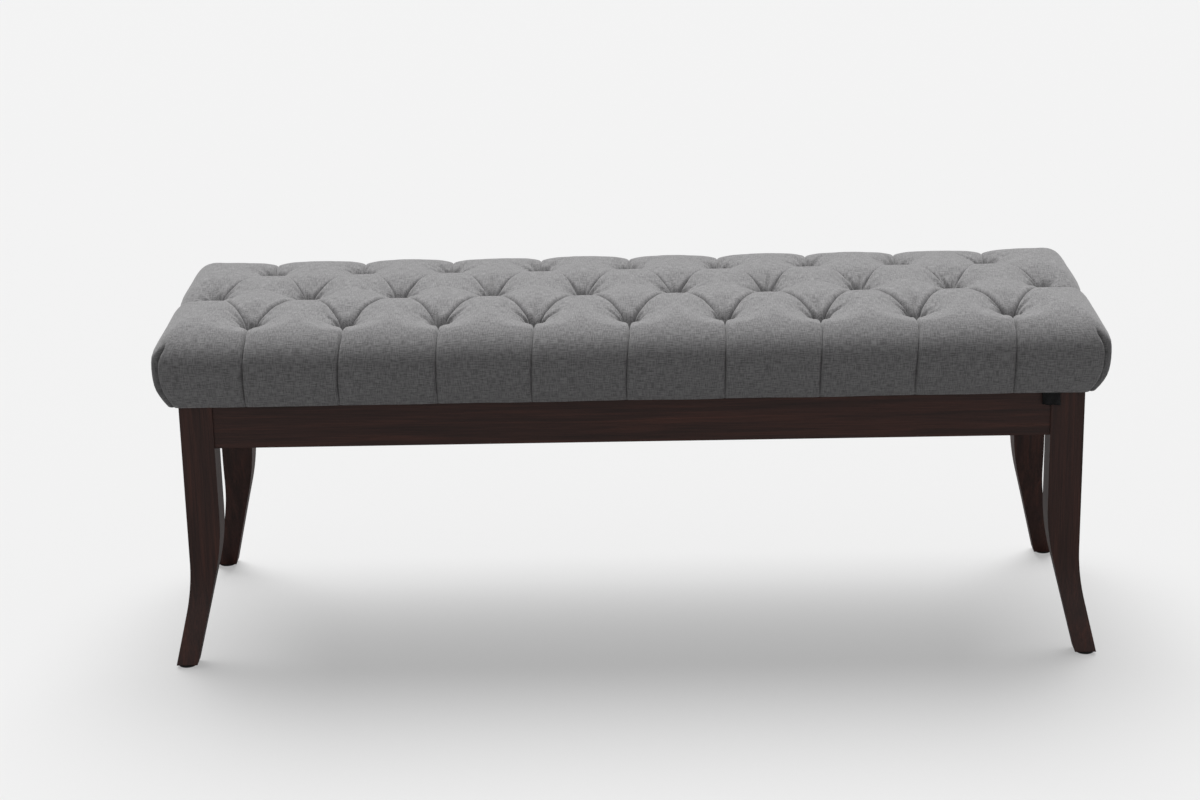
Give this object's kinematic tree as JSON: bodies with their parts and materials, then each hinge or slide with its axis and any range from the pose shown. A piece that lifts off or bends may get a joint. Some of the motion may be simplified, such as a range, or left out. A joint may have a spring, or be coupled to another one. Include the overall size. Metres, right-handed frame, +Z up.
{
  "type": "upholstered bench",
  "caption": "Long low bench with a deep diamond-tufted grey fabric cushion on a dark wood frame with flared square legs.",
  "frame": {"origin": "on the floor, under the middle of the bench", "axes": "+X along the bench to its right, +Y to its back, +Z up; the front faces -Y"},
  "size_m": [1.192, 0.3904, 0.4568],
  "materials": {
    "leg_wood": "satin",
    "apron_wood": "satin",
    "block_wood": "matte",
    "rail_wood": "matte",
    "dowel_wood": "matte",
    "plywood": "matte",
    "zinc_steel": "satin",
    "screw_steel": "satin",
    "staple_steel": "satin",
    "foam": "matte",
    "cover_fabric": "matte",
    "button_fabric": "matte",
    "twine": "matte",
    "anchor_plastic": "matte",
    "glide_plastic": "matte",
    "bottom_cloth": "matte",
    "label_fabric": "matte"
  },
  "bodies": {
    "root": {"apron_back": "apron_wood", "apron_dowels": "dowel_wood", "apron_front": "apron_wood", "apron_left": "apron_wood", "apron_right": "apron_wood", "board_screws": "screw_steel", "bolt_nuts": "zinc_steel", "bolt_washers": "zinc_steel", "bottom_cloth": "bottom_cloth", "cloth_staples": "staple_steel", "corner_block_back_left": "block_wood", "corner_block_back_right": "block_wood", "corner_block_front_left": "block_wood", "corner_block_front_right": "block_wood", "corner_block_screws": "screw_steel", "cover_staples": "staple_steel", "cross_rail_left": "rail_wood", "cross_rail_right": "rail_wood", "cushion_cover": "cover_fabric", "foam_pad": "foam", "foot_glide_back_left": "glide_plastic", "foot_glide_back_right": "glide_plastic", "foot_glide_front_left": "glide_plastic", "foot_glide_front_right": "glide_plastic", "hanger_bolts": "zinc_steel", "label_tab": "label_fabric", "leg_back_left": "leg_wood", "leg_back_right": "leg_wood", "leg_front_left": "leg_wood", "leg_front_right": "leg_wood", "rail_dowels": "dowel_wood", "seat_board": "plywood", "tuft_buttons_back": "button_fabric", "tuft_buttons_front": "button_fabric", "tuft_buttons_middle": "button_fabric", "tufting_twine": "twine", "twine_anchors": "anchor_plastic"}
  },
  "joints": []
}
